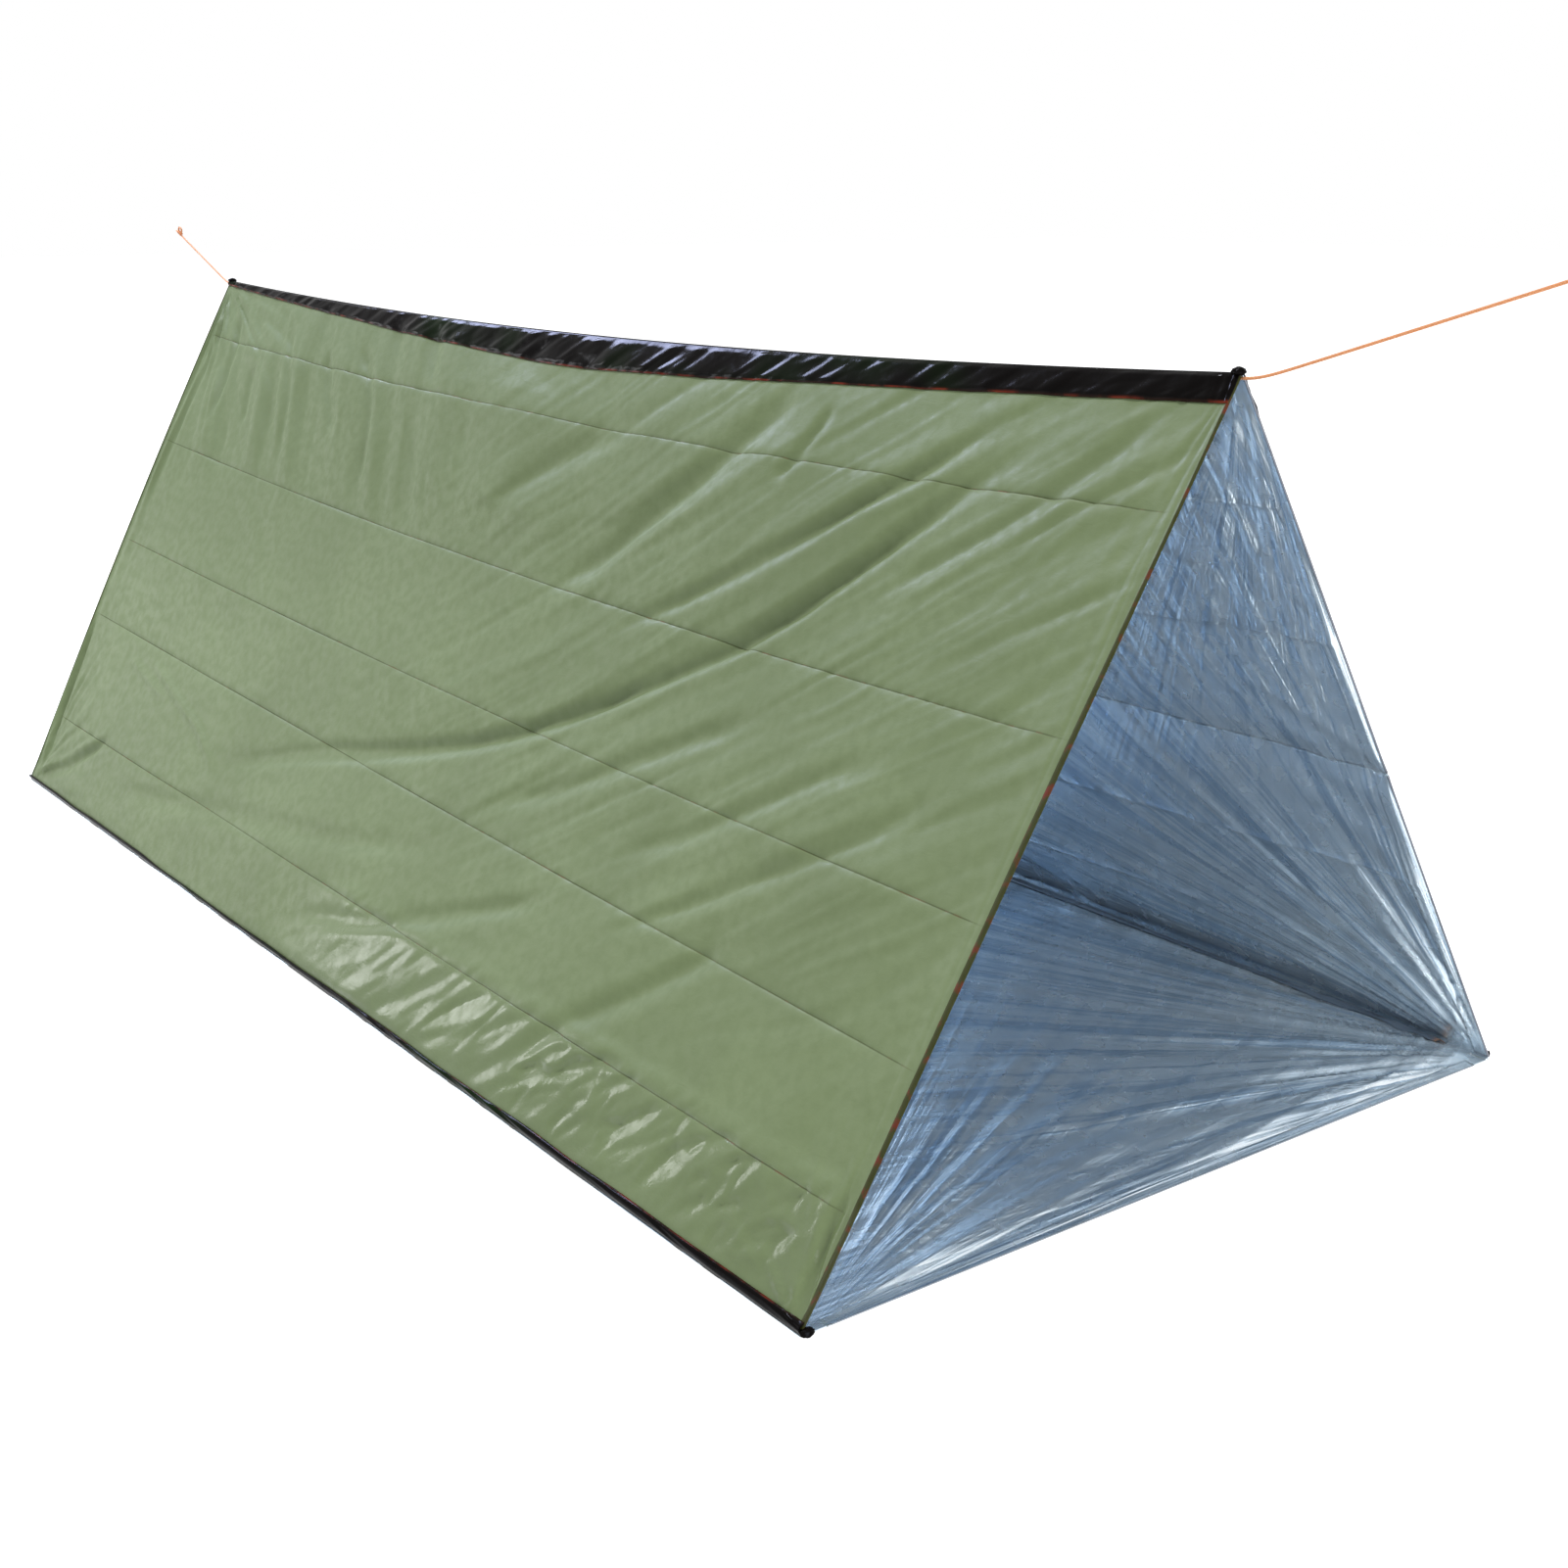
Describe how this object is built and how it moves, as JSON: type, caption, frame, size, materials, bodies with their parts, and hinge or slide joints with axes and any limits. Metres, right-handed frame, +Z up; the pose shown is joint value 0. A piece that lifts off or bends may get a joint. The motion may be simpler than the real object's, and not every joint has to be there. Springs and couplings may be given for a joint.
{
  "type": "emergency tube tent",
  "caption": "Emergency tube tent: a tube of thin foil film pitched as a triangular prism on a taut ridge cord, open at both mouths, that folds flat sideways.",
  "frame": {"origin": "middle of the floor's underside, at ground level, below the middle of the ridge", "axes": "+Z up, +Y along the ridge from the front mouth to the rear mouth, +X to the right as seen from the front mouth"},
  "size_m": [1.0351, 3.1019, 0.9458],
  "materials": {
    "green_film": "semi-gloss olive green film, silver on its inner side",
    "silver_film": "aluminised silver film, green on its underside",
    "black_strip": "glossy black welded strip",
    "orange_cord": "braided orange cord"
  },
  "bodies": {
    "floor": {"floor_panel": "silver_film", "left_edge_strip": "black_strip", "left_inner_strip": "black_strip", "right_inner_strip": "black_strip", "front_hem_floor": "silver_film", "rear_hem_floor": "silver_film"},
    "left_wall": {"left_wall": "green_film", "left_ridge_strip": "black_strip", "front_hem_left_wall": "green_film", "rear_hem_left_wall": "green_film", "ridge_cord": "orange_cord", "front_guy_cord": "orange_cord", "rear_guy_cord": "orange_cord", "front_cord_knot": "orange_cord", "rear_cord_knot": "orange_cord"},
    "right_wall_lower": {"right_wall_lower": "green_film", "right_edge_strip": "black_strip", "front_hem_right_wall_lower": "silver_film", "rear_hem_right_wall_lower": "silver_film"},
    "right_wall_upper": {"right_wall_upper": "green_film", "right_ridge_strip": "black_strip", "front_hem_right_wall_upper": "silver_film", "rear_hem_right_wall_upper": "silver_film"}
  },
  "joints": [
    {"name": "left_wall_fold", "type": "hinge", "parent": "floor", "child": "left_wall", "pos_m": [-0.5155, 0, 0.0018], "axis": [0, 1, 0], "range_deg": [0, 48.3]},
    {"name": "right_wall_fold", "type": "hinge", "parent": "floor", "child": "right_wall_lower", "pos_m": [0.5155, 0, 0.0018], "axis": [0, 1, 0], "range_deg": [0, 107]},
    {"name": "right_crease_fold", "type": "hinge", "parent": "right_wall_lower", "child": "right_wall_upper", "pos_m": [0.27067, 0, 0.39629], "axis": [0, -1, 0], "range_deg": [0, 158.6]}
  ],
  "couplings": [
    {"joint": "right_wall_fold", "follows": "left_wall_fold", "ratio": 2.207},
    {"joint": "right_crease_fold", "follows": "left_wall_fold", "ratio": 3.275}
  ]
}
